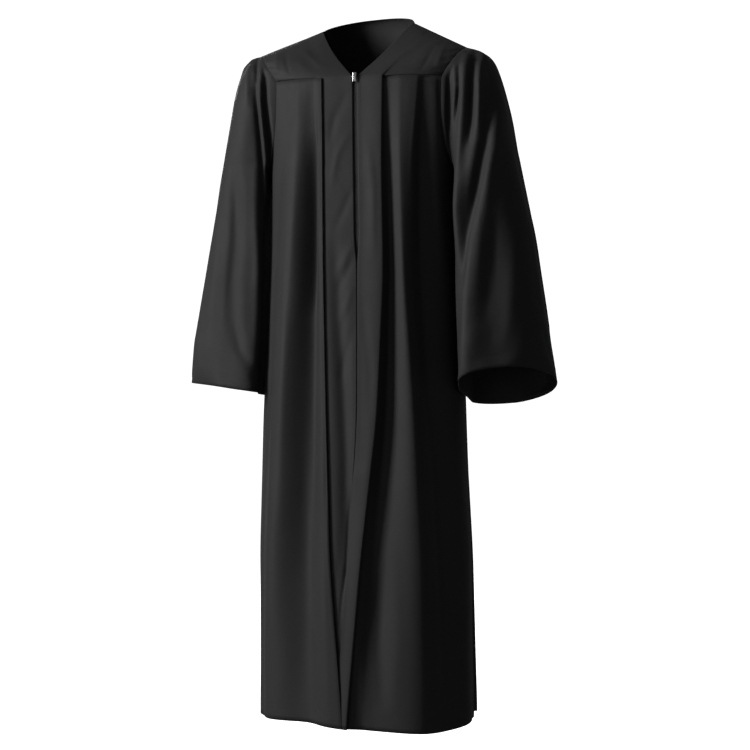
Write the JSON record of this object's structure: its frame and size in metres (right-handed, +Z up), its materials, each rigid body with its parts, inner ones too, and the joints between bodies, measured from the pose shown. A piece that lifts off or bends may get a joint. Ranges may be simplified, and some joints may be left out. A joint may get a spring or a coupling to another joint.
{
  "type": "graduation gown",
  "caption": "Black graduation gown, worn and hollow, with a front zip, pleated fronts, yokes and bell sleeves.",
  "frame": {"origin": "the point midway between the neck points, level with them, where the shoulders carry the gown", "axes": "+Z up, the wearer faces -Y, +X to the wearer's left"},
  "size_m": [0.6694, 0.3272, 1.271],
  "materials": {
    "cloth": "matte black polyester weave, slight sheen",
    "zip_tape": "black woven tape",
    "metal": "bright nickel plate"
  },
  "bodies": {
    "gown": {"yoke_front_right": "cloth", "yoke_front_left": "cloth", "yoke_back": "cloth", "front_panel_right": "cloth", "front_panel_left": "cloth", "back_panel": "cloth", "sleeve_right": "cloth", "sleeve_left": "cloth", "zip_tape_right": "zip_tape", "zip_tape_left": "zip_tape", "zip_slider": "metal"},
    "pull_tab": {"pull_tab": "metal"}
  },
  "joints": [
    {"name": "pull_swing", "type": "hinge", "parent": "gown", "child": "pull_tab", "pos_m": [0.0016, -0.11265, -0.102], "axis": [-1, 0, 0], "range_deg": [0, 150]}
  ]
}
